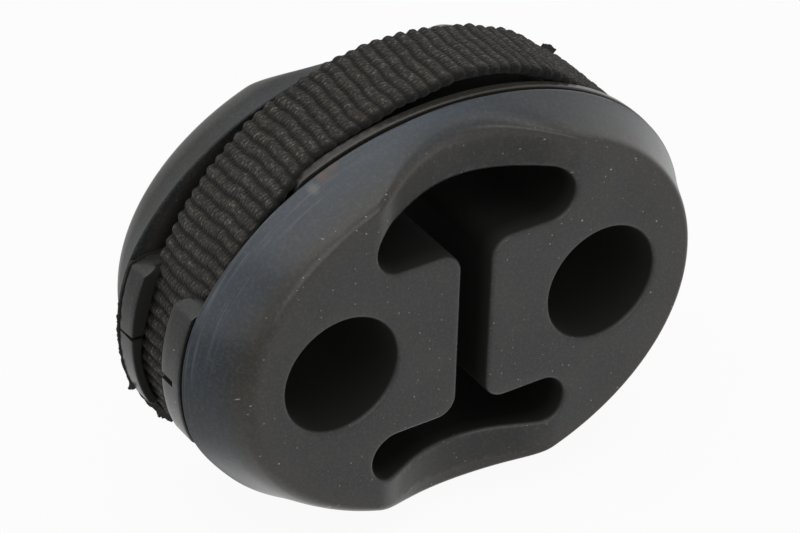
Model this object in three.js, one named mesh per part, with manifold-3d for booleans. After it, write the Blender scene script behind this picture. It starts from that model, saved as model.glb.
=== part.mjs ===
// Exhaust hanger: an oval block of black rubber with two round bores and an I-shaped slot,
// and a loop of woven webbing that lies in a groove round its edge.
// Millimetres, +Z up. X runs along the length and Y from the front face to the rear face.
// The origin is the middle of the block, halfway between the two bores.

import * as THREE from "three";
import { mergeVertices } from "three/addons/utils/BufferGeometryUtils.js";
import Module from "manifold-3d";

const wasm = await Module();
wasm.setup();

// Rubber block
const bodyLength = 56; // end to end over the rims
const bodyHeight = 42.8; // bottom to top over the rims
const bodyDepth = 23.1; // front face to rear face
const fullness = 2.05; // exponent of the oval outline, where 2 would be an ellipse
const sideDepth = 5.9; // from each face to its rim, along the depth
const endDraft = 2.85; // how far the face's edge stands inside the rim at the two ends
const topDraft = 1.85; // the same at the top and the bottom
const sideFullness = 1.06; // exponent of the side's curve, where 1 is a straight cone and 2 a quarter ellipse

// Fine groove and lip behind each rim
const rimGrooveWidth = 0.4;
const rimGrooveDepth = 0.45;
const lipWidth = 0.6;
const lipDrop = 0.1; // how far the lip lies below the rim

// Webbing loop
const strapSink = 1.9; // how far the ribs lie inside the rims at both ends
const strapRise = 1.6; // how far the ribs stand out over the rims at the top and the bottom
const strapThickness = 1.7; // ribs and ground weave together
const ribPitch = 1.34;
const ribHeight = 0.42;
const strapClearance = 0.3; // to the groove's floor, to its walls and to the retaining lips

// Retaining lips that fold over the webbing's edges at both ends
const tabHalfSpan = 7.8; // half of their height on the oval
const frontTabReach = 3.1; // how far the front ones reach over the webbing, from the rim groove
const rearTabReach = 2.6; // the same for the rear ones
const tabDrop = 0.1; // how far their outer face lies below the rim
const tabEndSlant = 0.9; // how much shorter they are on the outer face

// Bores for the two hanger rods
const boreDiameter = 12;
const boreSpacing = 29.2; // centre to centre
const mouthRadius = 0.6; // rounding at each mouth of the bores and of the slot

// I-shaped slot: a narrow upright slot between two cross openings
const slotWidth = 3.4;
const slotCorner = 2.1; // radius where the slot opens into a cross opening
const crossInner = 9.2; // height of a cross opening's inner edge over the middle
const crossTipRadius = 2.67; // round end of a cross opening
const crossSpan = 21.8; // end to end
const crossCrown = 0.4; // rise of the outer edge in the middle

// Scoops: hollows on both faces from each cross opening to the rim
const scoopRadius = 12.4;
const scoopDepth = 3.6;

// Tears in the two retaining lips at the left end, from the free edge inwards
const tearWidth = 0.35;
const tearHeight = -0.6; // how high they lie on the oval
const rearTearRun = 2;
const frontTearRun = 1.5;

// Fineness of the faceted outlines
const ovalSegments = 88;
const boreSegments = 48;
const arcSteps = 7;
const mouthSteps = 3;
const scoopSegments = 72;
const sideSteps = 8;
const tabSteps = 10;

const frontFace = -bodyDepth / 2;
const rimFront = frontFace + sideDepth;
const lipFront = rimFront + rimGrooveWidth;
const grooveFront = lipFront + lipWidth;
const strapLength = bodyLength - 2 * strapSink;
const strapHeight = bodyHeight + 2 * strapRise;
const crossCentre = crossInner + crossTipRadius;
const beyond = 2; // how far a cutter stands out of what it cuts

// A point of the oval with half length a and half height b, at the angle t
function ovalPoint(a, b, t) {
  const x = Math.sign(Math.cos(t)) * Math.abs(Math.cos(t)) ** (2 / fullness);
  const z = Math.sign(Math.sin(t)) * Math.abs(Math.sin(t)) ** (2 / fullness);
  return new THREE.Vector2(a * x, b * z);
}

function ovalOutline(a, b) {
  const points = [];
  for (let i = 0; i < ovalSegments; i++) points.push(ovalPoint(a, b, (2 * Math.PI * i) / ovalSegments));
  return points;
}

function arc(cx, cz, radius, from, to, steps) {
  const points = [];
  for (let i = 0; i <= steps; i++) {
    const t = from + ((to - from) * i) / steps;
    points.push(new THREE.Vector2(cx + radius * Math.cos(t), cz + radius * Math.sin(t)));
  }
  return points;
}

// A closed solid through outlines of equal point count, one at each depth
function loft(sections) {
  const count = sections[0].outline.length;
  const positions = sections.flatMap(({ y, outline }) => outline.flatMap((p) => [p.x, y, p.y]));
  const index = [];
  for (let k = 0; k + 1 < sections.length; k++) {
    for (let i = 0; i < count; i++) {
      const a = k * count + i;
      const b = k * count + ((i + 1) % count);
      index.push(a, b, b + count, a, b + count, a + count);
    }
  }
  const last = (sections.length - 1) * count;
  for (const [a, b, c] of THREE.ShapeUtils.triangulateShape(sections[0].outline, [])) {
    index.push(c, b, a);
  }
  for (const [a, b, c] of THREE.ShapeUtils.triangulateShape(sections.at(-1).outline, [])) {
    index.push(last + a, last + b, last + c);
  }
  const geometry = new THREE.BufferGeometry();
  geometry.setAttribute("position", new THREE.Float32BufferAttribute(positions, 3));
  geometry.setIndex(index);
  return geometry;
}

// Solids and geometries: one way and back
function solidOf(geometry) {
  const bare = geometry.clone();
  bare.deleteAttribute("normal");
  bare.deleteAttribute("uv");
  const merged = mergeVertices(bare, 1e-5);
  const vertProperties = new Float32Array(merged.attributes.position.array);
  const triVerts = new Uint32Array(merged.index.array);
  const solid = new wasm.Manifold(new wasm.Mesh({ numProp: 3, vertProperties, triVerts }));
  if (solid.volume() > 0) return solid;
  for (let i = 0; i < triVerts.length; i += 3) [triVerts[i], triVerts[i + 1]] = [triVerts[i + 1], triVerts[i]];
  return new wasm.Manifold(new wasm.Mesh({ numProp: 3, vertProperties, triVerts }));
}

function geometryOf(solid) {
  const mesh = solid.getMesh();
  const geometry = new THREE.BufferGeometry();
  geometry.setAttribute("position", new THREE.BufferAttribute(new Float32Array(mesh.vertProperties), 3));
  geometry.setIndex(new THREE.BufferAttribute(new Uint32Array(mesh.triVerts), 1));
  geometry.computeVertexNormals();
  return geometry;
}

// A solid whose section in the XZ plane is the shape, between two depths
function extrudedAlongDepth(shape, yFrom, yTo) {
  const geometry = new THREE.ExtrudeGeometry(shape, { depth: yTo - yFrom, bevelEnabled: false });
  geometry.rotateX(Math.PI / 2);
  geometry.translate(0, yTo, 0);
  return solidOf(geometry);
}

// The same section list for the front half and, mirrored, for the rear half
function bothHalves(front) {
  const rear = front.map(({ y, outline }) => ({ y: -y, outline })).reverse();
  return [...front, ...rear];
}

// The oval block with its rounded sides, rims, rim grooves and lips, still without the webbing's groove
function blockSolid() {
  const at = (y, ends, top) => ({ y, outline: ovalOutline(bodyLength / 2 - ends, bodyHeight / 2 - top) });
  const half = [];
  for (let i = 0; i <= sideSteps; i++) {
    const t = (Math.PI / 2) * (1 - i / sideSteps);
    const outwards = Math.abs(Math.cos(t)) ** (2 / sideFullness);
    const forwards = Math.abs(Math.sin(t)) ** (2 / sideFullness);
    half.push(at(rimFront - sideDepth * forwards, endDraft * (1 - outwards), topDraft * (1 - outwards)));
  }
  half.push(at(rimFront, rimGrooveDepth, rimGrooveDepth));
  half.push(at(lipFront, rimGrooveDepth, rimGrooveDepth));
  half.push(at(lipFront, lipDrop, lipDrop));
  return solidOf(loft(bothHalves(half)));
}

// Everything outside an oval tube, between two depths
function outsideOval(a, b, yFrom, yTo) {
  const shape = new THREE.Shape(ovalOutline(a + bodyLength, b + bodyLength));
  shape.holes.push(new THREE.Path(ovalOutline(a, b)));
  return extrudedAlongDepth(shape, yFrom, yTo);
}

const floorLength = strapLength / 2 - strapThickness - strapClearance;
const floorHeight = strapHeight / 2 - strapThickness - strapClearance;

function strapGroove() {
  return outsideOval(floorLength, floorHeight, grooveFront, -grooveFront);
}

// A retaining lip: a slice of an oval shell over the webbing's edge
function tabSolid(side, yFrom, yTo) {
  const outerA = bodyLength / 2 - tabDrop;
  const outerB = bodyHeight / 2 - tabDrop;
  const innerA = strapLength / 2 + strapClearance;
  const innerB = strapHeight / 2 + strapClearance;
  const angleAt = (b, z) => Math.asin((z / b) ** (fullness / 2));
  const outerEnd = angleAt(outerB, tabHalfSpan - tabEndSlant);
  const innerEnd = angleAt(innerB, tabHalfSpan);
  const outline = [];
  for (let i = 0; i <= tabSteps; i++) {
    outline.push(ovalPoint(outerA * side, outerB, outerEnd * ((2 * i) / tabSteps - 1)));
  }
  for (let i = 0; i <= tabSteps; i++) {
    outline.push(ovalPoint(innerA * side, innerB, innerEnd * (1 - (2 * i) / tabSteps)));
  }
  return extrudedAlongDepth(new THREE.Shape(outline), yFrom, yTo);
}

// A cutter along the whole depth whose outline grows in a quarter round at each mouth
function throughCutter(outlineAt) {
  const half = [{ y: frontFace - beyond, outline: outlineAt(mouthRadius) }];
  for (let i = 0; i <= mouthSteps; i++) {
    const t = (i / mouthSteps) * (Math.PI / 2);
    const y = frontFace + mouthRadius * (1 - Math.cos(t));
    half.push({ y, outline: outlineAt(mouthRadius * (1 - Math.sin(t))) });
  }
  return solidOf(loft(bothHalves(half)));
}

function boreCutter(x) {
  const radius = boreDiameter / 2;
  return throughCutter((grow) => arc(x, 0, radius + grow, 0, 2 * Math.PI, boreSegments).slice(0, -1));
}

// Outline of the I-shaped slot, wider by grow all round
function slotOutline(grow) {
  const half = slotWidth / 2;
  const cornerX = half + slotCorner;
  const cornerZ = crossInner - slotCorner;
  const tipX = crossSpan / 2 - crossTipRadius;
  const rise = crossTipRadius + crossCrown;
  const crownRadius = (tipX ** 2 + rise ** 2 - crossTipRadius ** 2) / (2 * crossCrown);
  const crownCentre = crossCentre + rise - crownRadius;
  const tangent = Math.atan2(crossCentre - crownCentre, tipX);
  const right = Math.PI / 2;
  const upper = [
    ...arc(cornerX, cornerZ, slotCorner - grow, Math.PI, right, arcSteps),
    ...arc(tipX, crossCentre, crossTipRadius + grow, -right, tangent, 2 * arcSteps),
    ...arc(0, crownCentre, crownRadius + grow, tangent, Math.PI - tangent, arcSteps).slice(1, -1),
    ...arc(-tipX, crossCentre, crossTipRadius + grow, Math.PI - tangent, 3 * right, 2 * arcSteps),
    ...arc(-cornerX, cornerZ, slotCorner - grow, right, 0, arcSteps),
  ];
  const lower = upper.map((p) => new THREE.Vector2(-p.x, -p.y));
  return [...upper, ...lower];
}

// A hollow on one face, above or below, from the middle of a cross opening outwards
function scoopCutter(face, up) {
  const geometry = new THREE.CylinderGeometry(scoopRadius, scoopRadius, bodyHeight, scoopSegments);
  geometry.rotateX(Math.PI / 2);
  const y = face * (bodyDepth / 2 + scoopRadius - scoopDepth);
  geometry.translate(0, y, up * (crossCentre + bodyHeight / 2));
  return solidOf(geometry);
}

// A tear through a retaining lip at the left end: face is -1 for the front lip and 1 for the rear one
function tearCutter(face, reach, run) {
  const outside = bodyLength / 2 - tabDrop;
  const inside = strapLength / 2 + strapClearance;
  const through = outside - inside + 2 * strapClearance;
  const geometry = new THREE.BoxGeometry(through, run * 2, tearWidth);
  geometry.translate(-(outside + inside) / 2, -face * (lipFront + reach), tearHeight);
  return solidOf(geometry);
}

function rubberBody() {
  const tabRoot = lipFront + lipWidth / 2; // inside the body, so that the lip joins it
  let body = blockSolid().subtract(strapGroove());
  for (const side of [-1, 1]) {
    body = body.add(tabSolid(side, tabRoot, lipFront + frontTabReach));
    body = body.add(tabSolid(side, -lipFront - rearTabReach, -tabRoot));
  }
  body = body.subtract(tearCutter(-1, frontTabReach, frontTearRun));
  body = body.subtract(tearCutter(1, rearTabReach, rearTearRun));
  for (const up of [-1, 1]) {
    body = body.subtract(scoopCutter(-1, up)).subtract(scoopCutter(1, up));
  }
  body = body.subtract(throughCutter(slotOutline));
  for (const x of [-boreSpacing / 2, boreSpacing / 2]) body = body.subtract(boreCutter(x));
  return geometryOf(body);
}

// An oval as a curve, for points at equal steps along it
class OvalCurve extends THREE.Curve {
  constructor(a, b) {
    super();
    this.a = a;
    this.b = b;
  }

  getPoint(t, target = new THREE.Vector3()) {
    const p = ovalPoint(this.a, this.b, 2 * Math.PI * t);
    return target.set(p.x, p.y, 0);
  }
}

// The webbing: a closed loop with a rib across its width at every pick of the weave
function webbingStrap() {
  const valley = new OvalCurve(strapLength / 2 - ribHeight, strapHeight / 2 - ribHeight);
  valley.arcLengthDivisions = 2000;
  const ribs = Math.round(valley.getLength() / ribPitch);
  const rise = [0, 0.75, 1, 0.75]; // share of the rib's height, from one valley to the next
  const steps = ribs * rise.length;
  const points = valley.getSpacedPoints(steps);
  const outer = [];
  for (let i = 0; i < steps; i++) {
    const before = points[(i + steps - 1) % steps];
    const after = points[(i + 1) % steps];
    const along = new THREE.Vector2(after.x - before.x, after.y - before.y).normalize();
    const height = ribHeight * rise[i % rise.length];
    outer.push(new THREE.Vector2(points[i].x + along.y * height, points[i].y - along.x * height));
  }
  const shape = new THREE.Shape(outer);
  shape.holes.push(new THREE.Path(ovalOutline(strapLength / 2 - strapThickness, strapHeight / 2 - strapThickness)));
  const front = grooveFront + strapClearance;
  return geometryOf(extrudedAlongDepth(shape, front, -front));
}

const rubber = new THREE.MeshStandardMaterial({ color: "#3d3e3e", roughness: 0.55, metalness: 0 });
const webbing = new THREE.MeshStandardMaterial({ color: "#302d2a", roughness: 0.95, metalness: 0 });

function part(name, geometry, material) {
  const mesh = new THREE.Mesh(geometry, material);
  mesh.name = name;
  return mesh;
}

const exhaustHanger = new THREE.Group();
exhaustHanger.add(part("rubber_body", rubberBody(), rubber));
exhaustHanger.add(part("webbing_strap", webbingStrap(), webbing));

export default exhaustHanger;
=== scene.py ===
import math
from functools import partial

import bmesh
import bpy
import numpy as np
from mathutils import Euler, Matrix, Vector
from mathutils.geometry import delaunay_2d_cdt


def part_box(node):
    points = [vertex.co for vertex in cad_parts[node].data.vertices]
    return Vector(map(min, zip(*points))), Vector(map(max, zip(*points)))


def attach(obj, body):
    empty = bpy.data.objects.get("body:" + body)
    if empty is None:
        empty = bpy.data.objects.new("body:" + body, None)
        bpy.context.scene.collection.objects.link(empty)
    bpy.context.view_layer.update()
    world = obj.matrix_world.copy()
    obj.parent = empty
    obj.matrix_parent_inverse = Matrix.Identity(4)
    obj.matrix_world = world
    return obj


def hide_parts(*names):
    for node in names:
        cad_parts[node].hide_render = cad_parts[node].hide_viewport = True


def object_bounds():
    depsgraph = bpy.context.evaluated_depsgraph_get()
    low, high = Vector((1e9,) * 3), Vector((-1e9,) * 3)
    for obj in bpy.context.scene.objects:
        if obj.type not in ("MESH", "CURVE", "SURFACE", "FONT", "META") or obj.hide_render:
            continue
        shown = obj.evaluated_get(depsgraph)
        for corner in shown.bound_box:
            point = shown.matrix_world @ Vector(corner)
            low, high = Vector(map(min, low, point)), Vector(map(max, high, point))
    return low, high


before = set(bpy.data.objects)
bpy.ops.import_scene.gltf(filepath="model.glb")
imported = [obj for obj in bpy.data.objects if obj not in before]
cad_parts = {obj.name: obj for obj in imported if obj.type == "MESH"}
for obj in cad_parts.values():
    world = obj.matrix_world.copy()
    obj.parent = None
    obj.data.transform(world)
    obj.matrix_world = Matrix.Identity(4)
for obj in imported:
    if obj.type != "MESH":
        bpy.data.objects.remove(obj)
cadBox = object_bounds()
mm = 0.001
rng = np.random.default_rng(7)
print("frame loaded:", sorted(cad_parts))


# Small helpers

def linearColor(hexText):
    # sRGB hex to the linear colour that the shaders take
    parts = [int(hexText[i:i + 2], 16) / 255 for i in (1, 3, 5)]
    linear = [c / 12.92 if c <= 0.04045 else ((c + 0.055) / 1.055) ** 2.4 for c in parts]
    return (*linear, 1.0)


def addNode(tree, kind, inputs=(), **settings):
    # one shader node with its settings; inputs go by name, or in the order in which the node shows them;
    # each is a value, a hex colour, a socket, or a node, which stands for the first output it shows
    node = tree.nodes.new("ShaderNode" + kind)
    for name, value in settings.items():
        setattr(node, name, value)
    shown = [socket for socket in node.inputs if socket.enabled]
    pairs = inputs.items() if isinstance(inputs, dict) else enumerate(inputs)
    for key, value in pairs:
        socket = node.inputs[key] if isinstance(key, str) else shown[key]
        if isinstance(value, bpy.types.Node):
            value = next(output for output in value.outputs if output.enabled)
        if isinstance(value, bpy.types.NodeSocket):
            tree.links.new(value, socket)
        else:
            socket.default_value = linearColor(value) if isinstance(value, str) else value
    return node


def newMaterial(name):
    # an empty material, with addNode made ready for its node tree
    material = bpy.data.materials.new(name)
    material.use_nodes = True
    material.node_tree.nodes.clear()
    return material, partial(addNode, material.node_tree)


def smoothStep(low, high, x):
    t = np.clip((x - low) / (high - low), 0, 1)
    return t * t * (3 - 2 * t)


def smoothMax(a, b, width):
    # the larger of two depths, with the edge between them rounded off
    h = np.clip(0.5 + 0.5 * (a - b) / width, 0, 1)
    return b + (a - b) * h + width * h * (1 - h)


def meshObject(name, points, faces, fields, sharpDegrees):
    # points in millimetres; fields are numbers kept on the points for the materials
    mesh = bpy.data.meshes.new(name)
    mesh.from_pydata((np.asarray(points) * mm).tolist(), [], faces)
    for field, values in fields.items():
        values = np.asarray(values, dtype=np.float32)
        kind = "FLOAT" if values.ndim == 1 else "FLOAT_VECTOR"
        layer = mesh.attributes.new(field, kind, "POINT")
        layer.data.foreach_set("value" if values.ndim == 1 else "vector", values.ravel())
    bm = bmesh.new()
    bm.from_mesh(mesh)
    bmesh.ops.remove_doubles(bm, verts=bm.verts, dist=0.002 * mm)
    bmesh.ops.dissolve_degenerate(bm, edges=bm.edges, dist=0.0005 * mm)
    bmesh.ops.recalc_face_normals(bm, faces=bm.faces)
    openEdges = sum(1 for e in bm.edges if not e.is_manifold)
    bm.to_mesh(mesh)
    bm.free()
    mesh.shade_smooth()
    mesh.set_sharp_from_angle(angle=math.radians(sharpDegrees))
    piece = bpy.data.objects.new(name, mesh)
    bpy.context.scene.collection.objects.link(piece)
    print(name, "triangles", sum(len(p.vertices) - 2 for p in mesh.polygons), "open edges", openEdges)
    return piece


# The rubber block

block = {
    "fullness": 2.05,  # exponent of the oval outline, where 2 is an ellipse
    "frontInset": (0.2, 0.0),  # how much smaller the front flange is than the box, at the ends and the top
    "rearInset": (-0.22, -0.22),  # the rear flange is larger
    "sideDepth": 5.9,  # from each face to its rim
    "endDraft": 2.9,  # face edge inside the rim at the two ends, before it is softened
    "topDraft": 1.85,  # the same at the top and the bottom
    "sideFullness": 0.94,  # exponent of the side's curve, where 1 is a straight cone and less is hollow
    "faceEdge": 0.85,  # softness of the edge between face and side
    "leftFaceEdge": 2.7,  # the same at the left end of the front, where it is worn
    "leftFaceFrom": (8, -12),  # x where that wear begins and where it is full
    "rimRound": 0.16,
    "rimGrooveWidth": 0.42,
    "rimGrooveDepth": 0.45,
    "lipWidth": 1.03,
    "lipDrop": -0.08,  # the lip stands a little proud of the rim
    "lipThickness": 0.25,  # of the lip's inner edge, which overhangs the webbing's bed
    "bedEnds": 4.1,  # how deep the webbing's bed lies below the rim at the two ends
    "bedTop": 1.7,  # the same at the top and the bottom
    "bedStep": 0.05,  # what is left of the lip over the bed where the webbing covers it
    "frontCover": (0.54, 0.68),  # where that begins and is full, leftwards, in shares of half the length
    "rearCover": (0.2, 0.4),  # the same at the rear, towards both ends
    "frontTabEnds": (-7.8, 7.8),  # lowest and highest point of the retaining lips
    "rearTabEnds": (-8.4, 7.8),
    "frontTabReach": 3.1,  # how far a retaining lip reaches over the webbing
    "rearTabReach": 2.4,
    "tabThickness": 1.5,
    "tabCorner": 0.8,
    "tabEndRun": 0.9,  # height of the slanted end of a retaining lip
    "tabEndThickness": 0.3,
    "frontTear": (-0.75, -0.1, 1.9),  # lower edge, upper edge and run of the tear in the left lip
    "rearTear": (0.15, 0.55, 2.3),
    "leftBulge": 0.8,  # how far the webbing bulges out at the left end's lower half, into the lips
    "bulgeEnds": ((4, -3), (-14, -9)),  # z over which that bulge fades in from above and from below
    "frontPush": 0.5,  # how far it pushes the front rim and lip outwards there
    "rearPush": 0.3,
    "pushEnds": ((14, 6), (-12, -5)),  # z over which that push fades in from above and from below
    "rearDent": 0.55,  # how far the rear flange is pressed in at the upper right
    "dentFrom": ((6, 14), (4, 10)),  # x and z over which that dent fades in
    "boreRadius": 6.05,
    "boreSpacing": 29.2,
    "mouthRadius": 0.45,
    "slotWidth": 3.4,
    "slotCorner": 2.1,
    "crossInner": 9.2,  # from the middle of the slot to the inner edge of its cross openings
    "crossTipRadius": 2.67,
    "crossSpan": 21.8,
    "crossCrown": 0.4,  # how much higher a cross opening is at its middle than at its tips
    "scoopRadius": 12.4,
    "topScoopDepth": 3.6,
    "lowScoopDepth": 3.25,
    "topScoopEdge": 3.6,  # softness of the scoop's edges
    "lowScoopEdge": 2.0,
    "scoopFrom": (-1.4, 0.4),  # where a scoop begins and is full, from the middle of the cross opening
    "scoopShade": 0.3,  # how much painted shade darkens the scoops, with 1 as dark as the bores
    "scoopShadeFrom": (0.3, 1.6),  # depths at which that shade begins and is full
    "slotShade": 1.5,  # painted shade on the slot's walls, darker than in the bores
    "sharpDegrees": 38,
    "ringPoints": 480,
    "sideSteps": 30,
    "mouthSteps": 6,
    "wallSteps": 12,
    "firstRing": -0.45,  # where the rings start inside the face's edge, with 0 on the edge and 1 at the rim
    "gridStep": 0.8,
    "scoopGridStep": 0.38,
    "gridMargin": 0.25,  # from the face's outlines to the nearest point of the grid
}
# what the field "side" says beyond 0 at the face's edge and 1 at the rim
sideMarks = {"bore": -6.0, "plain": -2.0, "lip": -0.2}
touch = 0.001  # heights that differ by less count as the same

low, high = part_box("rubber_body")
halfLength, halfDepth, halfHeight = [(high[i] - low[i]) / 2 / mm for i in range(3)]
rimDepth = -halfDepth + block["sideDepth"]
lipDepth = rimDepth + block["rimGrooveWidth"]
bedDepth = lipDepth + block["lipWidth"]
crossCentre = block["crossInner"] + block["crossTipRadius"]


def ovalPoints(a, b, angles):
    power = 2 / block["fullness"]
    c, s = np.cos(angles), np.sin(angles)
    return np.sign(c) * np.abs(c) ** power * a, np.sign(s) * np.abs(s) ** power * b


def angleAtHeight(z, b):
    return math.copysign(math.asin((abs(z) / b) ** (block["fullness"] / 2)), z)


def ofFace(name, face):
    # a size that differs between the front (-1) and the rear (1)
    return block[("front" if face < 0 else "rear") + name]


def insideTab(z, face):
    # how far a height lies from the nearer end of the retaining lip, negative beyond it
    lower, upper = ofFace("TabEnds", face)
    return np.minimum(z - lower, upper - z)


def leftBulge(x, z):
    above, below = block["bulgeEnds"]
    return block["leftBulge"] * smoothStep(*above, z) * smoothStep(*below, z) * (x < 0)


def leftPush(x, z, face):
    above, below = block["pushEnds"]
    return ofFace("Push", face) * smoothStep(*above, z) * smoothStep(*below, z) * (x < 0)


def rearDent(x, z, face):
    alongX, alongZ = block["dentFrom"]
    return block["rearDent"] * smoothStep(*alongX, x) * smoothStep(*alongZ, z) * (face > 0)


def ringAngles():
    # even steps, with more where the retaining lips end and where they are torn
    b, heights, margin = block, [], 0.04
    for face in (-1, 1):
        for end in ofFace("TabEnds", face):
            heights += [end * (1 - d / abs(end)) for d in np.linspace(-0.03, 1.3, 12)] + [end]
        below, above, _ = ofFace("Tear", face)
        heights += [below - margin, below, above, above + margin]
    marks = [angleAtHeight(z, halfHeight) for z in heights]
    angles = np.linspace(0, 2 * np.pi, b["ringPoints"], endpoint=False)
    angles = np.sort(np.concatenate([angles, np.mod(marks, 2 * np.pi), np.pi - np.array(marks)]))
    return angles[np.concatenate([[True], np.diff(angles) > 0.0004])]


def tabEdgeDepth(x, z, face):
    # how far the lip reaches over the webbing, as a depth, on the front (-1) or the rear (1)
    corner, gap = block["tabCorner"], insideTab(z, face)
    into = np.clip(corner - gap, 0, corner)
    full = lipDepth + ofFace("TabReach", face)
    edge = full - corner + np.sqrt(corner ** 2 - into ** 2)
    below, above, run = ofFace("Tear", face)
    torn = (x < 0) & (z > below - touch) & (z < above + touch)
    return np.where(gap >= -touch, np.where(torn, full - run, edge), bedDepth)


def coveredLip(x, z, face):
    # 1 where the webbing lies over the narrow lip beside the rim, which then has no height there
    reach = -x / halfLength if face < 0 else np.abs(x) / halfLength
    return smoothStep(*ofFace("Cover", face), reach) * (insideTab(z, face) < -touch)


def flangeSize(face):
    ends, top = ofFace("Inset", face)
    return halfLength - ends, halfHeight - top


def outwardsAt(x, z, face):
    # 0 on the oval where the face ends and 1 on the rim's oval; negative further in
    b, (length, height) = block, flangeSize(face)
    levelX = (np.abs(x) / length) ** b["fullness"]
    levelZ = (np.abs(z) / height) ** b["fullness"]
    total = np.maximum(levelX + levelZ, 1e-9)
    draft = (levelX * b["endDraft"] / length + levelZ * b["topDraft"] / height) / total
    return 1 - (1 - total ** (1 / b["fullness"])) / draft


def faceSurface(x, z, face):
    # depth of a face and its side: a plane and a slightly hollow cone with a soft edge, less the scoops
    b = block
    outwards = outwardsAt(x, z, face)
    curve = (1 - np.clip(outwards, 0, 1) ** b["sideFullness"]) ** (1 / b["sideFullness"])
    forwards = np.where(outwards < 0, 1 - outwards, curve)
    side = rimDepth - b["rimRound"] - (b["sideDepth"] - b["rimRound"]) * forwards
    worn = smoothStep(*b["leftFaceFrom"], x) * (face < 0)
    softness = b["faceEdge"] + (b["leftFaceEdge"] - b["faceEdge"]) * worn
    y = smoothMax(np.full_like(side, -halfDepth), side, softness)
    radius = b["scoopRadius"]
    scoopDepth = np.where(z > 0, b["topScoopDepth"], b["lowScoopDepth"])
    scoopEdge = np.where(z > 0, b["topScoopEdge"], b["lowScoopEdge"])
    floor = -halfDepth + scoopDepth - radius + np.sqrt(np.maximum(radius ** 2 - x ** 2, 0))
    start, full = b["scoopFrom"]
    share = smoothStep(crossCentre + start, crossCentre + full, np.abs(z))
    return y + share * (smoothMax(y, floor, scoopEdge) - y)


def halfRings(angles, face):
    # rings from the face's edge over the side, the rim and the lip down to the webbing's bed
    b, rings = block, []
    rimRound, plain = b["rimRound"], sideMarks["plain"]
    length, height = flangeSize(face)
    dent = rearDent(*ovalPoints(length, height, angles), face)

    # the fifth value of a ring is its painted shade, with 1 as dark as the bores
    def ring(ends, top, y, side, recessShade, pushed=1):
        x, z = ovalPoints(length - ends - pushed * dent, height - top - pushed * dent, angles)
        rows = [np.broadcast_to(np.asarray(v, dtype=float), x.shape) for v in (y, side, recessShade)]
        rings.append((x - pushed * leftPush(x, z, face), rows[0], z, rows[1], rows[2]))

    for i in range(b["sideSteps"] + 1):
        outwards = b["firstRing"] + (1 - b["firstRing"]) * i / b["sideSteps"]
        ends, top = b["endDraft"] * (1 - outwards), b["topDraft"] * (1 - outwards)
        x, z = ovalPoints(length - ends, height - top, angles)
        ring(ends, top, faceSurface(x, z, face), outwards, 0, smoothStep(0, 1, outwards))
    arc = np.linspace(0, np.pi / 2, 5)
    for t in arc[1:]:
        drop = rimRound * (1 - math.cos(t))
        ring(drop, drop, rimDepth - rimRound * (1 - math.sin(t)), 1, 0)

    x, z = ovalPoints(length, height, angles)
    covered = coveredLip(x, z, face)
    gap = insideTab(z, face)
    isTab = gap >= -touch
    thickness = b["tabThickness"] - leftBulge(x, z)
    slant = np.clip(1 - gap / b["tabEndRun"], 0, 1)
    drop = b["lipDrop"] + np.where(isTab, slant * (thickness - b["tabEndThickness"]), 0)
    ends = drop + covered * (b["bedEnds"] - b["bedStep"] - b["lipDrop"])
    top = drop + covered * (b["bedTop"] - b["bedStep"] - b["lipDrop"])
    grooveEnds = np.maximum(ends, b["rimGrooveDepth"])
    grooveTop = np.maximum(top, b["rimGrooveDepth"])
    lipSide = np.where(isTab, plain, sideMarks["lip"])  # the narrow lip is as dusty as the face's edge
    # the rim groove is painted in shade
    ring(grooveEnds, grooveTop, rimDepth, plain, 1)
    ring(grooveEnds, grooveTop, lipDepth, plain, 1)
    # where the webbing lies over the lip, the lip is painted in shade
    for t in arc:
        lower = rimRound * (1 - math.sin(t))
        ring(ends + lower, top + lower, lipDepth + rimRound * (1 - math.cos(t)), lipSide, covered)
    edge = tabEdgeDepth(x, z, face)
    start = lipDepth + rimRound
    for share in (0.25, 0.5, 0.75, 1):
        ring(ends, top, start + (edge - rimRound - start) * share, lipSide, covered)
    # painted shade on the lip's edge face, which turns towards the webbing
    for t in arc[1:]:
        lower = rimRound * (1 - math.cos(t))
        edgeShade = np.maximum(covered, math.sin(t) ** 4)
        ring(ends + lower, top + lower, edge - rimRound * (1 - math.sin(t)), lipSide, edgeShade)
    thick = np.where(isTab, thickness, b["lipThickness"])
    thinnest = b["lipThickness"] - b["bedStep"]
    thickEnds = np.minimum(np.maximum(ends + thinnest, thick), b["bedEnds"])
    thickTop = np.minimum(np.maximum(top + thinnest, thick), b["bedTop"])
    # the lip's underside and the webbing's bed are painted in shade
    ring(thickEnds, thickTop, edge, plain, 1)
    ring(thickEnds, thickTop, bedDepth, plain, 1)
    ring(b["bedEnds"] - halfLength + length, b["bedTop"] - halfHeight + height, bedDepth, plain, 1, 0)
    return rings


def arcPoints(cx, cz, radius, start, end, steps):
    t = np.linspace(start, end, steps + 1)
    return [(cx + radius * math.cos(v), cz + radius * math.sin(v)) for v in t]


def boreOutline(x, grow):
    steps = 120
    points = arcPoints(x, 0, block["boreRadius"] + grow, 0, 2 * np.pi, steps)
    return points[:-1]


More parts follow.
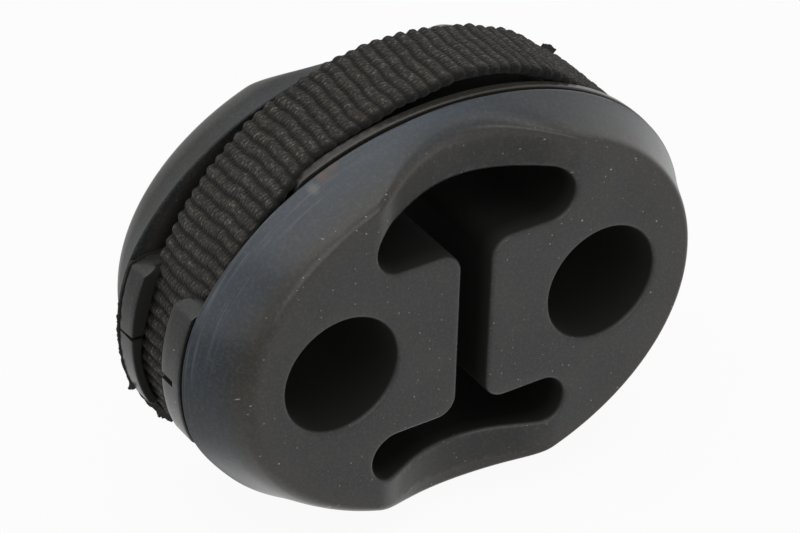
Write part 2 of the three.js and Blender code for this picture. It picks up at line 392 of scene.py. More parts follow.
def slotOutline(grow):
    # the upper half from the right wall over the cross opening to the left wall, and the same turned about
    b = block
    cornerSteps, tipSteps, crownSteps, wallRows, innerRows = 14, 34, 40, 28, 10
    half = b["slotWidth"] / 2
    cornerX, cornerZ = half + b["slotCorner"], b["crossInner"] - b["slotCorner"]
    cornerRadius, inner = b["slotCorner"] - grow, b["crossInner"] - grow
    tip = b["crossTipRadius"]
    tipX = b["crossSpan"] / 2 - tip
    rise = tip + b["crossCrown"]
    crownRadius = (tipX ** 2 + rise ** 2 - tip ** 2) / (2 * b["crossCrown"])
    crownZ = crossCentre + rise - crownRadius
    tangent = math.atan2(crossCentre - crownZ, tipX)
    right = np.pi / 2
    rows = [round(v, 4) for v in np.linspace(-cornerZ, cornerZ, wallRows)[1:-1]]
    innerRun = np.linspace(cornerX, tipX, innerRows)[1:-1]
    upper = arcPoints(cornerX, cornerZ, cornerRadius, np.pi, right, cornerSteps)
    upper += [(v, inner) for v in innerRun]
    upper += arcPoints(tipX, crossCentre, tip + grow, -right, tangent, tipSteps)
    upper += arcPoints(0, crownZ, crownRadius + grow, tangent, np.pi - tangent, crownSteps)[1:-1]
    upper += arcPoints(-tipX, crossCentre, tip + grow, np.pi - tangent, 3 * right, tipSteps)
    upper += [(-v, inner) for v in innerRun[::-1]]
    upper += arcPoints(-cornerX, cornerZ, cornerRadius, right, 0, cornerSteps)
    upper += [(-half - grow, -v) for v in rows]
    return upper + [(-x, -z) for x, z in upper]


def inside(px, pz, outline):
    # even-odd test of many points against one closed outline
    o = np.asarray(outline)
    x1, z1 = o[:, 0], o[:, 1]
    x2, z2 = np.roll(x1, -1), np.roll(z1, -1)
    crosses = (z1[None] > pz[:, None]) != (z2[None] > pz[:, None])
    at = (x2 - x1)[None] * (pz[:, None] - z1[None]) / np.where(z2 == z1, 1, z2 - z1)[None] + x1[None]
    return (crosses & (px[:, None] < at)).sum(1) % 2 == 1


def faceTriangles(edgeX, edgeZ, holes):
    # triangles of the flat face between its edge and the mouths, finer in the scoops
    b = block
    spots = []
    for step, isScoop in ((b["gridStep"], False), (b["scoopGridStep"], True)):
        across, up = np.arange(-halfLength, halfLength, step), np.arange(-halfHeight, halfHeight, step)
        gx, gz = np.meshgrid(across, up)
        gx = gx + step / 2 * (np.round(gz / step) % 2)
        gx, gz = gx.ravel(), gz.ravel()
        inScoop = (np.abs(gx) < b["crossSpan"] / 2 + 1) & (np.abs(gz) > b["crossInner"])
        chosen = inScoop if isScoop else ~inScoop
        spots.append(np.stack([gx[chosen], gz[chosen]], 1))
    spots = np.concatenate(spots)
    margin = b["gridMargin"]
    ends, top = np.abs(edgeX).max() - margin, np.abs(edgeZ).max() - margin
    levels = [(np.abs(spots[:, k]) / size) ** b["fullness"] for k, size in ((0, ends), (1, top))]
    clear = levels[0] + levels[1] < 1
    wider = [boreOutline(side * b["boreSpacing"] / 2, b["mouthRadius"] + margin) for side in (-1, 1)]
    for outline in wider + [slotOutline(b["mouthRadius"] + margin)]:
        clear &= ~inside(spots[:, 0], spots[:, 1], outline)
    points, edges = [], []
    for outline in [list(zip(edgeX, edgeZ))] + holes:
        first, count = len(points), len(outline)
        points += [tuple(map(float, p)) for p in outline]
        edges += [(first + i, first + (i + 1) % count) for i in range(count)]
    points += [tuple(map(float, p)) for p in spots[clear]]
    made, _, faces, *_ = delaunay_2d_cdt(points, edges, [], 0, 1e-6)
    made = np.array([(p.x, p.y) for p in made])
    faces = np.array([f for f in faces if len(f) == 3])
    mid = made[faces].mean(1)
    keep = inside(mid[:, 0], mid[:, 1], list(zip(edgeX, edgeZ)))
    for outline in holes:
        keep &= ~inside(mid[:, 0], mid[:, 1], outline)
    return made, faces[keep].tolist()


def rubberBody():
    b = block
    angles = ringAngles()
    points, faces, side, recessShade = [], [], [], []

    def addPoints(x, y, z, sideValue, recessShadeValue):
        first = len(side)
        points.append(np.stack([x, y, z], 1))
        for store, value in ((side, sideValue), (recessShade, recessShadeValue)):
            store.extend(np.broadcast_to(value, np.shape(x)).tolist())
        return first

    def joinRings(first, count, rings):
        for k in range(rings - 1):
            for i in range(count):
                j = (i + 1) % count
                a = first + k * count
                faces.append((a + i, a + j, a + count + j, a + count + i))

    front, rear = halfRings(angles, -1), halfRings(angles, 1)
    rings = front + [(x, -y, z, s, r) for x, y, z, s, r in reversed(rear)]
    firsts = [addPoints(*ring) for ring in rings]
    joinRings(firsts[0], len(angles), len(rings))

    mouths = [partial(boreOutline, end * b["boreSpacing"] / 2) for end in (-1, 1)] + [slotOutline]
    for face, rings in ((-1, front), (1, rear)):
        flat, triangles = faceTriangles(rings[0][0], rings[0][2], [m(b["mouthRadius"]) for m in mouths])
        x, z = flat[:, 0], flat[:, 1]
        depth = faceSurface(x, z, face)
        inwards = np.clip(outwardsAt(x, z, face), sideMarks["bore"], 0)
        # painted shade in the scoops, growing deeper down
        shaded = smoothStep(*b["scoopShadeFrom"], depth + halfDepth) * (inwards < -0.3)
        first = addPoints(x, -face * depth, z, inwards, b["scoopShade"] * shaded)
        faces.extend([tuple(first + i for i in f) for f in triangles])

    for mouth in mouths:
        halves = {-1: [], 1: []}
        for t in np.linspace(0, np.pi / 2, b["mouthSteps"] + 1):
            outline = np.array(mouth(b["mouthRadius"] * (1 - math.sin(t))))
            x, z = outline[:, 0], outline[:, 1]
            for face in (-1, 1):
                y = faceSurface(x, z, face) + b["mouthRadius"] * (1 - math.cos(t))
                # painted shade grows over the mouth's rounding into the bore
                halves[face].append((x, -face * y, z, math.sin(t) ** 4))
        start, end = halves[-1][-1][1], halves[1][-1][1]
        # the bore's and the slot's walls are painted in shade, the slot's darker
        wallShade = b["slotShade"] if mouth is slotOutline else 1.0
        shares = [k / b["wallSteps"] for k in range(1, b["wallSteps"])]
        walls = [(x, start + (end - start) * share, z, wallShade) for share in shares]
        rows = halves[-1] + walls + halves[1][::-1]
        firsts = [addPoints(x, y, z, sideMarks["bore"], w) for x, y, z, w in rows]
        joinRings(firsts[0], len(x), len(rows))
    fields = {"side": side, "recessShade": recessShade}
    return meshObject("rubber_block", np.concatenate(points), faces, fields, b["sharpDegrees"])


# The webbing loop

webbing = {
    "ribPitch": 1.34,
    "ribHeight": 0.42,
    "ribScale": (0.72, 1.1),  # least and most height of a rib, as shares of the usual height
    "ribWaver": 0.1,  # how far a rib strays from a straight line
    "strandPitch": 0.4,  # between two strands on top of one rib; the next rib's lie half a step off
    "strandHeight": 0.11,  # of a strand over the gaps beside it
    "strandScale": (0.4, 1.1),  # least and most height of a strand, as shares of that
    "strandSlant": 0.25,  # how far a strand leans sideways over one rib
    "threadDrift": 0.05,  # how far the pattern of the threads wanders along the loop
    "thickness": 1.7,
    "edgeThickness": 1.0,
    "edgeRound": 0.7,
    "edgeDrop": 0.25,
    "edgeScallop": 0.2,  # how far the edges draw in between two ribs
    "edgeJitter": 0.04,
    "wander": 0.12,  # how far the edges stray to the side
    "endSink": 1.9,  # ribs inside the rim at the two ends
    "frontRise": 1.6,  # ribs outside the rim at the top and the bottom, at the front edge
    "rearRise": 2.4,  # the same at the rear edge
    "frontReach": 4.1,  # from the middle of the depth to the front edge
    "rearReach": 4.35,  # the same to the rear edge
    "overLip": 1.1,  # how much further the front edge reaches where it covers the lip
    "overLipFrom": (0.5, 0.66),  # where it does so, leftwards, in shares of half the length
    "tabSlack": 0.8,  # height over which it moves out beside a retaining lip
    "topSpread": 0.35,  # how far the rear edge reaches over the rear lip at the top and the bottom
    "shifts": [
        # how far outwards, stretches of x and of z over which it fades, and whether only at the front edge
        (0.3, [(14, 21)], (4, 8), False),  # stands off at the upper right
        (-0.5, [(13.5, 17.5), (24, 18)], (6, 10), False),  # sags beside that
        (-0.6, [], (-8, -18), False),  # lies close at the bottom
        (0.6, [(-2, 4), (17, 7)], (10, 18), True),  # a hump right of the top
        (-0.5, [(-16, -11), (-4, -8)], (6, 12), True),  # lies close left of the hump
    ],
    "samplesPerRib": 6,
    "acrossSamples": 100,
    "sharpDegrees": 120,
}


def webbingPath():
    # even steps along the middle of the loop's outside: x and z, the outward normal and the distance run;
    # then the loop's length and half its height
    w, roundTrip = webbing, 2 * np.pi
    a, c = halfLength - w["endSink"], halfHeight + (w["frontRise"] + w["rearRise"]) / 2
    fine = np.linspace(0, roundTrip, 20001)
    fx, fz = ovalPoints(a, c, fine)
    run = np.concatenate([[0], np.cumsum(np.hypot(np.diff(fx), np.diff(fz)))])
    count = round(run[-1] / w["ribPitch"]) * w["samplesPerRib"]
    s = np.arange(count) * run[-1] / count
    x, z = ovalPoints(a, c, np.interp(s, run, fine))
    tx, tz = np.roll(x, -1) - np.roll(x, 1), np.roll(z, -1) - np.roll(z, 1)
    length = np.hypot(tx, tz)
    return x, z, tz / length, -tx / length, s, run[-1], c


def webbingLoop():
    w = webbing
    x, z, nx, nz, s, loopLength, c = webbingPath()
    count = len(s)
    ribs = count // w["samplesPerRib"]
    rib = np.arange(count) // w["samplesPerRib"]
    phase = (np.arange(count) % w["samplesPerRib"] + 0.5) / w["samplesPerRib"]
    crest = np.sin(np.pi * phase) ** 0.8
    ribScale = rng.uniform(*w["ribScale"], ribs)[rib]

    def wave(amount, periods):
        # a slow wave round the loop with a random start
        return amount * sum(np.sin(2 * np.pi * k * s / loopLength + rng.uniform(0, 6.28)) for k in periods)

    # how the loop lies on the block
    upDown = (np.abs(z) / c) ** 4
    tilt = (w["rearRise"] - w["frontRise"]) * upDown
    lifted = leftBulge(x, z) + leftPush(x, z, 1)
    frontLifted = 0
    for outwards, alongX, alongZ, frontOnly in w["shifts"]:
        shift = outwards * smoothStep(*alongZ, z)
        for stretch in alongX:
            shift = shift * smoothStep(*stretch, x)
        if frontOnly:
            frontLifted = frontLifted + shift
        else:
            lifted = lifted + shift

    lowest, highest = block["frontTabEnds"]
    besideTab = smoothStep(0, w["tabSlack"], np.maximum(z - highest, lowest - z))
    covers = smoothStep(*w["overLipFrom"], -x / halfLength) * besideTab
    scallop = w["edgeScallop"] * (1 - crest)
    frontEdge = -w["frontReach"] - w["overLip"] * covers + scallop
    frontEdge += wave(w["wander"] / 2, (5, 9, 14)) + rng.normal(0, w["edgeJitter"], ribs)[rib]
    rearEdge = w["rearReach"] - scallop + w["topSpread"] * upDown
    rearEdge += wave(w["wander"] / 2, (4, 11, 15)) + rng.normal(0, w["edgeJitter"], ribs)[rib]

    # the ribs: each column has its depth, its height over the usual outside, and its tone: painted shade in
    # the valleys and at the edges, worn threads with a painted highlight on the crests
    skew = wave(w["threadDrift"], (3, 7))
    columns, ribLightShadeAndWear = [], []
    reach = w["frontReach"] + w["rearReach"]
    strands = int((reach + w["overLip"]) / w["strandPitch"]) + 8
    rise = rng.uniform(*w["strandScale"], (ribs, strands))
    shade = rng.uniform(0, 1, (ribs, strands))
    for share in np.linspace(0, 1, w["acrossSamples"]):
        y = frontEdge + (rearEdge - frontEdge) * share
        place = (y - w["strandSlant"] * (phase - 0.5)) / w["strandPitch"] + 0.5 * (rib % 2) + strands / 2
        strand = np.clip(np.floor(place).astype(int), 0, strands - 1)
        centre = np.abs(np.sin(np.pi * place)) ** 0.7
        lift = centre * rise[rib, strand]
        level = w["ribHeight"] * ribScale - w["strandHeight"] * (1 - lift)
        edge = np.clip(1 - np.minimum(y - frontEdge, rearEdge - y) / w["edgeRound"], 0, 1)
        columns.append((y, level * crest - w["ribHeight"] - w["edgeDrop"] * edge ** 2.6))
        worn = crest ** 1.4 * (0.4 + 0.6 * centre) * (0.5 + 0.5 * shade[rib, strand])
        # painted shade darkens the edges and the valleys; the crests get worn threads and a painted
        # highlight
        ribLightShadeAndWear.append((1 - edge ** 2) * worn)

    # the plain underside: share of the width, shift from there in depth, and height
    under, lower = -w["thickness"], -w["edgeThickness"]
    rows = [(1, 0.02, lower * 0.5), (1, -0.05, lower), (1, -0.9, under + 0.12), (1, -1.6, under)]
    rows += [(0.7, 0, under), (0.5, 0, under), (0.3, 0, under)]
    rows += [(0, 1.6, under), (0, 0.9, under + 0.12), (0, 0.05, lower), (0, -0.02, lower * 0.5)]
    for share, shift, height in rows:
        y = frontEdge + (rearEdge - frontEdge) * share + shift
        columns.append((y, np.full(count, float(height))))
        # the underside is painted in full shade
        ribLightShadeAndWear.append(np.zeros(count))

    points, coords = [], []
    turn = 2 * np.pi * s / loopLength
    for y, height in columns:
        across = np.clip(0.5 + y / reach, 0, 1)
        out = height + lifted + tilt * (across - 0.5) + frontLifted * (1 - across)
        along = w["ribWaver"] * (np.sin(0.8 * y + 5 * turn) + 0.7 * np.sin(1.9 * y + 13 * turn))
        points.append(np.stack([x + nx * out - nz * along, y, z + nz * out + nx * along], 1))
        coords.append(np.stack([s + skew * np.sin(y), y, height], 1))
    total = len(columns)
    faces = []
    for k in range(total):
        n = (k + 1) % total
        for i in range(count):
            j = (i + 1) % count
            faces.append((k * count + i, k * count + j, n * count + j, n * count + i))
    # the second field holds the ribs' painted light and shade together with their wear
    fields = {"weave": np.concatenate(coords), "float": np.concatenate(ribLightShadeAndWear)}
    return meshObject("webbing_loop", np.concatenate(points), faces, fields, w["sharpDegrees"])


# Thin ragged fins of rubber where the mould halves met

flash = {
    "root": 0.5,  # how deep a fin starts inside the rim
    "thickness": 0.14,
    "least": 0.02,  # height of a fin where it is worn off
    "lean": 0.05,  # how far its edge wavers to the side
    "endRun": 1.5,  # degrees over which it rises at its ends
    "stepDegrees": 0.35,
    "sharpDegrees": 30,
    "fins": [
        # name, depth, first and last angle, height, raggedness, and spikes as angle, height and half width
        ("flash_rear_end", 5.35, 161, 199.6, 0.2, 0.03, [(180.2, 0.4, 0.3), (198.4, 0.75, 1.5)]),
        (
            "flash_rear_low", 4.9, 199.5, 215, 0.12, 0.02,
            [(209.6, 0.35, 0.5), (210.6, 0.6, 0.5), (211.8, 0.3, 0.4)],
        ),
        ("flash_rear_top", 5.45, 44.5, 49, 0.02, 0.02, [(46.2, 0.16, 0.5), (46.9, 0.26, 0.6)]),
    ],
}


def flashFin(name, depth, first, last, height, ragged, spikes):
    f = flash
    steps = int((last - first) / f["stepDegrees"])
    degrees = np.linspace(first, last, steps + 1)
    start, stop = first + f["endRun"], last - f["endRun"]
    ends = np.minimum(smoothStep(first, start, degrees), 1 - smoothStep(stop, last, degrees))
    rough = np.convolve(rng.normal(0, ragged, steps + 5), [0.4, 0.8, 1, 0.8, 0.4], "valid")
    rise = (height + rough) * ends
    for at, tall, wide in spikes:
        rise = np.maximum(rise, tall * np.clip(1 - np.abs(degrees - at) / wide, 0, 1))
    rise = np.maximum(rise, f["least"])
    lean = rng.normal(0, f["lean"], steps + 1)
    angles = np.radians(degrees)
    length, tallness = flangeSize(1)
    corners = [(f["root"], 0), (-rise, lean), (-rise, lean + f["thickness"]), (f["root"], f["thickness"])]
    points = []
    for drop, y in corners:
        x, z = ovalPoints(length - drop, tallness - drop, angles)
        points.append(np.stack([x - leftPush(x, z, 1), depth + np.broadcast_to(y, x.shape), z], 1))
    count = steps + 1
    faces = [(0, count, 2 * count, 3 * count), (steps, 3 * count + steps, 2 * count + steps, count + steps)]
    for k in range(4):
        n = (k + 1) % 4
        a, c = k * count, n * count
        faces += [(a + i, a + i + 1, c + i + 1, c + i) for i in range(steps)]
    return meshObject(name, np.concatenate(points), faces, {}, f["sharpDegrees"])


# Materials

rubberLook = {
    "dark": "#1f2020",
    "light": "#2a2b2b",
    "cloudSize": 9,  # mm, of the patches between dark and light
    "olive": "#2f2e27",  # a film of road dirt
    "oliveSize": 4,
    "edgeBrown": "#36312a",  # a ring of road dirt along the face's edge
    "bloomAndSheen": "#2d3a47",  # wax that came out of the rubber, bluish, lightened with a painted sheen
    "bloomAndSheenRun": (6, 7),  # length of its streaks in mm, and how many lie between face and rim
    # hair scratches with a painted highlight
    "scratchAndHighlight": "#7d858b",
    "scratchAndHighlightRun": (7, 30),
    "dust": "#5f5d59",
    "dustSize": 0.35,  # real dust is finer and is drawn this coarse to show
    "speck": "#b0aea6",
    "specks": [
        # spacing in mm, smallest and largest radius as shares of it, and strength
        (1.2, -0.14, 0.07, 0.55),
        (3.0, -0.035, 0.035, 0.9),
    ],
    "stains": [
        # place, radius, colour and strength: rust and chalk rubbed on at the rim
        ((-12.6, -6.0, 19.2), 0.8, "#5e4636", 0.5),
        ((-13.8, -6.1, 18.7), 0.9, "#5e4636", 0.6),
        ((-15.1, -6.5, 18.1), 0.7, "#7b7872", 0.45),
        ((-23.9, -6.9, 12.3), 0.35, "#8d8b85", 0.6),
    ],
    "stainRagged": 1.1,  # mm, of the tongues in a stain's border
    # painted shade: the colour of the bores, the rim groove, the webbing's bed, the lips' edge faces and
    # the scoops; darker still on the slot's walls
    "inside": "#262624",
    "slotInsideShade": "#141413",
    "torn": "#1b1714",
    "tornSize": 0.3,  # mm, of the crumbs on a torn edge
    "tornDepth": 0.05,
    "tornRoughness": 0.7,
    "grainSize": 0.25,  # mm, of the mould's eroded texture, a little coarser than the real one
    "grainDepth": 0.02,
    "roughness": 0.29,
    "insideRoughness": 0.8,
    "specular": 0.4,
    "insideSpecular": 0.1,
    "rearSpecular": 0.4,  # share of the specular level that the duller rear side keeps
    "rearRoughness": 0.25,  # how much rougher the rear side is
    "ior": 1.5,
}


def patch(add, place, spot, radius, noise):
    # 1 near a spot in millimetres, with a ragged border
    away = add("VectorMath", [place, tuple(v * mm for v in spot)], operation="DISTANCE")
    ragged = add("Math", [noise, 1.6 * radius * mm, away], operation="MULTIPLY_ADD")
    return add("MapRange", [ragged, 1.9 * radius * mm, 1.1 * radius * mm])


def mouldedRubber():
    # EPDM rubber, moulded: near-black with a satin sheen, bluish wax bloom with a painted sheen on the
    # sides, clinging dust, and painted shade in the hollows
    look = rubberLook
    material, add = newMaterial("moulded_epdm_rubber")
    place = add("TexCoord").outputs["Object"]
    axes = add("SeparateXYZ", [place]).outputs
    side = add("Attribute", attribute_name="side").outputs["Fac"]
    recessShade = add("Attribute", attribute_name="recessShade").outputs["Fac"]

    inputs = {"Vector": place, "Scale": 1 / (look["cloudSize"] * mm), "Detail": 4.0, "Roughness": 0.55}
    cloud = add("TexNoise", inputs)
    share = add("MapRange", [cloud, 0.35, 0.65])
    color = add("Mix", [share, look["dark"], look["light"]], data_type="RGBA")

    # each layer is how much of it shows, and its colour; the later ones lie on top
    inputs = {"Vector": place, "Scale": 1 / (look["oliveSize"] * mm), "Detail": 5.0, "Roughness": 0.6}
    layers = [(add("MapRange", [add("TexNoise", inputs), 0.5, 0.7, 0.0, 0.8]), look["olive"])]

    fromFace, toSide = add("MapRange", [side, -1.3, -0.3]), add("MapRange", [side, 0.5, 0.0])
    aged = add("Math", [fromFace, toSide], operation="MULTIPLY")
    layers.append((add("Math", [aged, 0.5], operation="MULTIPLY"), look["edgeBrown"]))

    def alongRim(length, lines):
        # a noise in lines along the oval: long in millimetres, and so many lines from face to rim
        scaled = [add("Math", [axes[k], 1 / (length * mm)], operation="MULTIPLY") for k in ("X", "Z")]
        scaled.append(add("Math", [side, lines], operation="MULTIPLY"))
        return add("TexNoise", {"Vector": add("CombineXYZ", scaled), "Scale": 1.0, "Detail": 4.0})

    # wax bloom with a painted sheen: on the side, most at the upper left of the front, where the light
    # falls
    bloomAndSheen = add("MapRange", [alongRim(*look["bloomAndSheenRun"]), 0.3, 0.7, 0.4, 1.0])
    frontOnly = add("MapRange", [axes["Y"], 3 * mm, -3 * mm, 0.12, 1.0])
    leftwards = add("MapRange", [axes["X"], 12 * mm, -6 * mm, 0.35, 1.0])
    upwards = add("MapRange", [axes["Z"], -12 * mm, 14 * mm, 0.35, 1.0])
    for factor in (add("MapRange", [side, 0.0, 0.8]), leftwards, upwards, frontOnly):
        bloomAndSheen = add("Math", [bloomAndSheen, factor], operation="MULTIPLY")
    layers.append((bloomAndSheen, look["bloomAndSheen"]))

    # hair scratches and a painted highlight along the rim at the left
    scratchesAndHighlight = add("MapRange", [alongRim(*look["scratchAndHighlightRun"]), 0.52, 0.8, 0.0, 0.5])
    leftRimMask = [add("MapRange", [side, 0.4, 0.9]), add("MapRange", [axes["X"], 0.0, -18 * mm])]
    leftRimMask.append(add("MapRange", [axes["Z"], -6 * mm, 8 * mm, 0.15, 1.0]))
    for factor in leftRimMask + [frontOnly]:
        scratchesAndHighlight = add("Math", [scratchesAndHighlight, factor], operation="MULTIPLY")
    layers.append((scratchesAndHighlight, look["scratchAndHighlight"]))

    inputs = {"Vector": place, "Scale": 1 / (look["dustSize"] * mm), "Detail": 6.0, "Roughness": 0.7}
    layers.append((add("MapRange", [add("TexNoise", inputs), 0.48, 0.8, 0.0, 0.5]), look["dust"]))

    # single specks on the face, each with its own size, and many too small to see
    halfY = add("Math", [axes["Y"], 0.5], operation="MULTIPLY")
    onFace = add("CombineXYZ", [add("Math", [axes[k], halfY]) for k in ("X", "Z")])
    onlyFace = add("MapRange", [side, 0.3, 0.05])
    for spacing, smallest, largest, strength in look["specks"]:
        inputs = {"Vector": onFace, "Scale": 1 / (spacing * mm), "Randomness": 1.0}
        speck = add("TexVoronoi", inputs, voronoi_dimensions="2D")
        chance = add("SeparateXYZ", [speck.outputs["Color"]])
        size = add("MapRange", [chance, 0.0, 1.0, smallest, largest])
        away = add("Math", [speck.outputs["Distance"], size], operation="SUBTRACT")
        share = add("MapRange", [away, 0.005, -0.015, 0.0, strength])
        layers.append((add("Math", [share, onlyFace], operation="MULTIPLY"), look["speck"]))

    inputs = {"Vector": place, "Scale": 1 / (look["stainRagged"] * mm), "Detail": 5.0}
    tongues = add("TexNoise", inputs).outputs["Fac"]
    for spot, radius, shade, strength in look["stains"]:
        share = patch(add, place, spot, radius, tongues)
        layers.append((add("Math", [share, strength], operation="MULTIPLY"), shade))

    # painted shade in the hollows, darkest on the slot's walls
    layers.append((recessShade, look["inside"]))
    layers.append((add("MapRange", [recessShade, 1.0, block["slotShade"]]), look["slotInsideShade"]))
    for share, shade in layers:
        color = add("Mix", [share, color, shade], data_type="RGBA")

    inputs = {"Vector": place, "Scale": 1 / (look["grainSize"] * mm), "Detail": 3.0}
    bumps = {"Height": add("TexNoise", inputs), "Strength": 0.25, "Distance": look["grainDepth"] * mm}
    onSide, toRear = add("MapRange", [side, 0.0, 0.4]), add("MapRange", [axes["Y"], 0.0, 5 * mm])
    rearSide = add("Math", [onSide, toRear], operation="MULTIPLY")
    worn = add("MapRange", [cloud, 0.3, 0.7, look["roughness"] - 0.05, look["roughness"] + 0.05])
    dull = add("Math", [rearSide, look["rearRoughness"], worn], operation="MULTIPLY_ADD")
    rougher = look["insideRoughness"] - look["roughness"]
    specular = add("MapRange", [recessShade, 0.0, 1.0, look["specular"], look["insideSpecular"]])
    clean = add("MapRange", [rearSide, 0.0, 1.0, 1.0, look["rearSpecular"]])
    shader = add("BsdfPrincipled", {
        "Base Color": color,
        "Roughness": add("Math", [dull, add("MapRange", [recessShade, 0.0, 1.0, 0.0, rougher])]),
        "IOR": look["ior"],
        "Specular IOR Level": add("Math", [specular, clean], operation="MULTIPLY"),
        "Normal": add("Bump", bumps),
    })
    add("OutputMaterial", {"Surface": shader})
    return material


def tornRubber():
    # EPDM rubber, torn fins: matt brownish black, since the thin edges age first
    look = rubberLook
    material, add = newMaterial("torn_epdm_rubber")
    place = add("TexCoord").outputs["Object"]
    grain = add("TexNoise", {"Vector": place, "Scale": 1 / (look["tornSize"] * mm), "Detail": 5.0})
    share = add("MapRange", [grain, 0.35, 0.75])
    color = add("Mix", [share, look["torn"], look["edgeBrown"]], data_type="RGBA")
    bump = add("Bump", {"Height": grain, "Strength": 0.5, "Distance": look["tornDepth"] * mm})
    inputs = {"Base Color": color, "Roughness": look["tornRoughness"], "IOR": look["ior"], "Normal": bump}
    add("OutputMaterial", {"Surface": add("BsdfPrincipled", inputs)})
    return material


webbingLook = {
    # painted shade in the valleys between the ribs, at the edges and underneath
    "valley": "#191817",
    "dark": "#373532",
    # worn threads with a painted highlight
    "light": "#827e75",
    "brown": "#43372f",
    "brownSize": 5,  # mm, of the stained patches
    # threads in one mm along the loop, across it and outwards; the real filaments are some ten times finer
    # and are drawn this coarse to show
    "threads": (3.0, 7.0, 1.0),
    "bumpDepth": 0.1,
    "roughness": 0.9,
    "ior": 1.5,
}


def wovenWebbing():
    # polyester webbing, woven: dull brownish black, with painted shade in the valleys and paler threads on
    # top of the ribs, worn and with a painted highlight
    look = webbingLook
    material, add = newMaterial("woven_polyester_webbing")
    place = add("TexCoord").outputs["Object"]
    weave = add("Attribute", attribute_name="weave").outputs["Vector"]
    paintedLightAndWear = add("Attribute", attribute_name="float").outputs["Fac"]
    stretched = add("Mapping", {"Vector": weave, "Scale": look["threads"]})
    fibre = add("TexNoise", {"Vector": stretched, "Scale": 1.0, "Detail": 5.0, "Roughness": 0.7})
    cell = add("TexVoronoi", {"Vector": stretched, "Scale": 1.0, "Randomness": 1.0})
    chance = add("SeparateXYZ", [cell.outputs["Color"]])
    # painted shade: dark in the valleys, at the edges and underneath
    share = add("MapRange", [paintedLightAndWear, 0.1, 0.45])
    color = add("Mix", [share, look["valley"], look["dark"]], data_type="RGBA")

    # threads that float on top of a rib, rubbed pale and with a painted highlight, by chance more or less
    worn = add("MapRange", [paintedLightAndWear, 0.15, 0.75])
    for factor in (add("MapRange", [chance, 0.35, 1.0]), add("MapRange", [cell, 0.75, 0.25])):
        worn = add("Math", [worn, factor], operation="MULTIPLY")
    color = add("Mix", [worn, color, look["light"]], data_type="RGBA")

    cloud = add("TexNoise", {"Vector": place, "Scale": 1 / (look["brownSize"] * mm), "Detail": 4.0})
    patches, onRibs = add("MapRange", [cloud, 0.55, 0.72, 0.0, 0.45]), add("MapRange", [paintedLightAndWear, 0.1, 0.5])
    stained = add("Math", [patches, onRibs], operation="MULTIPLY")
    color = add("Mix", [stained, color, look["brown"]], data_type="RGBA")
    rough = add("Math", [fibre, cell.outputs["Distance"]], operation="SUBTRACT")
    shader = add("BsdfPrincipled", {
        "Base Color": color,
        "Roughness": look["roughness"],
        "IOR": look["ior"],
        "Specular IOR Level": 0.2,
        "Normal": add("Bump", {"Height": rough, "Strength": 0.9, "Distance": look["bumpDepth"] * mm}),
        "Sheen Weight": 0.08,
        "Sheen Roughness": 0.5,
    })
    add("OutputMaterial", {"Surface": shader})
    return material


# Building

print("rubber block")
rubber = rubberBody()
rubber.data.materials.append(mouldedRubber())
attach(rubber, "root")
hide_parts("rubber_body")

print("webbing loop")
loop = webbingLoop()
loop.data.materials.append(wovenWebbing())
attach(loop, "root")
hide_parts("webbing_strap")

print("flash fins")
tornMaterial = tornRubber()
for fin in flash["fins"]:
    piece = flashFin(*fin)
    piece.data.materials.append(tornMaterial)
    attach(piece, "root")


# Studio: a white floor and surroundings, soft lamps and the camera

studio = {
    "floorSize": 4000,
    "floorWhite": "#f4f4f4",
    "light": "#ffffff",
    "shadowShare": 0.06,  # how much of the floor's own shading shows under the white
    "worldStrength": 0.12,
    "worldGloss": 1.0,
    "leftGloss": 0.55,  # how bright the floor on the left looks in the rubber's gloss
    "leftGlossTo": (-90, -15),  # x where that brightness ends and where the floor is full white again
    "cameraPlace": (-166.779, -245.269, 204.6465),
    "cameraDegrees": (55.4045, -1.5174, -33.0309),
    "lens": 169.654,
    "nearest": 10,  # nothing closer to the camera than this is shown
    "lamps": [
        # name, place, size, watts
        ("key", (-60, -700, 120), 600, 1.43),
        ("top", (-120, -60, 620), 900, 3.3),
        ("left", (-620, 0, 60), 450, 0.3),
    ],
}


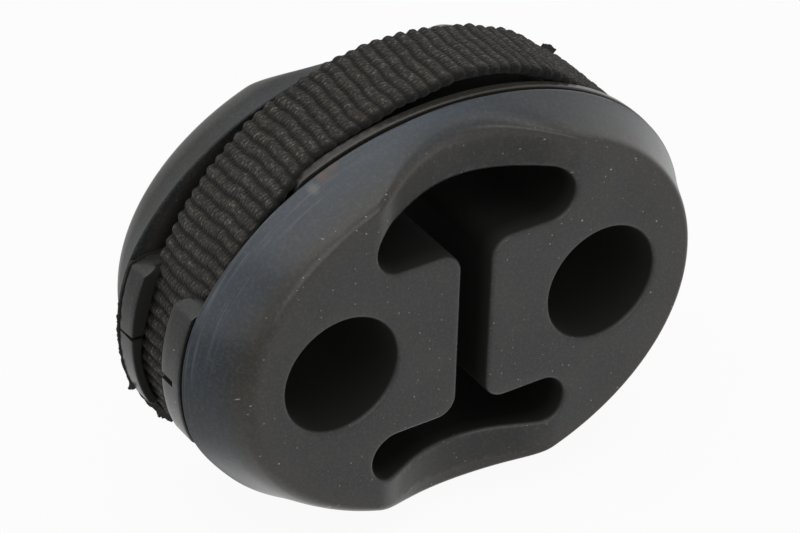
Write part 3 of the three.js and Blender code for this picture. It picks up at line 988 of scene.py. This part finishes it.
def whiteFloor():
    # white paper that the camera and the gloss see as lit from within, with a little of the shadow kept
    half = studio["floorSize"] / 2 * mm
    mesh = bpy.data.meshes.new("floor")
    corners = [(-half, -half, 0), (half, -half, 0), (half, half, 0), (-half, half, 0)]
    mesh.from_pydata(corners, [], [(0, 1, 2, 3)])
    floor = bpy.data.objects.new("floor", mesh)
    bpy.context.scene.collection.objects.link(floor)
    floor.location.z = cadBox[0][2]
    material, add = newMaterial("white_paper")
    paper = add("BsdfDiffuse", [studio["floorWhite"]])
    rays = add("LightPath").outputs
    across = add("SeparateXYZ", [add("TexCoord").outputs["Object"]])
    start, end = [v * mm for v in studio["leftGlossTo"]]
    mirrored = add("MapRange", [across, start, end, studio["leftGloss"], 1.0])
    strength = add("Math", [rays["Is Camera Ray"], mirrored], operation="MAXIMUM")
    white = add("Emission", [studio["light"], strength])
    seen = add("Math", [rays["Is Camera Ray"], rays["Is Glossy Ray"]], operation="MAXIMUM")
    share = add("Math", [seen, 1 - studio["shadowShare"]], operation="MULTIPLY")
    add("OutputMaterial", {"Surface": add("MixShader", [share, paper, white])})
    mesh.materials.append(material)


def surroundings():
    world = bpy.data.worlds.new("white_studio")
    bpy.context.scene.world = world
    world.use_nodes = True
    world.node_tree.nodes.clear()
    add = partial(addNode, world.node_tree)
    rays = add("LightPath").outputs
    levels = [studio["worldStrength"], studio["worldGloss"]]
    glossy = add("MapRange", [rays["Is Glossy Ray"], 0.0, 1.0] + levels)
    strength = add("Math", [rays["Is Camera Ray"], glossy], operation="MAXIMUM")
    add("OutputWorld", {"Surface": add("Background", [studio["light"], strength])})


def lampsAndCamera():
    scene = bpy.context.scene
    for name, place, size, watts in studio["lamps"]:
        lamp = bpy.data.lights.new(name, "AREA")
        lamp.size = size * mm
        lamp.energy = watts
        holder = bpy.data.objects.new(name, lamp)
        holder.location = Vector(place) * mm
        holder.rotation_euler = (-holder.location).to_track_quat("-Z", "Y").to_euler()
        scene.collection.objects.link(holder)
    lens = bpy.data.cameras.new("camera")
    lens.lens = studio["lens"]
    lens.clip_start = studio["nearest"] * mm
    camera = bpy.data.objects.new("camera", lens)
    camera.location = Vector(studio["cameraPlace"]) * mm
    camera.rotation_euler = Euler([math.radians(v) for v in studio["cameraDegrees"]], "XYZ")
    scene.collection.objects.link(camera)
    scene.camera = camera
    scene.view_settings.view_transform = "Standard"


print("studio")
whiteFloor()
surroundings()
lampsAndCamera()

bpy.context.view_layer.update()
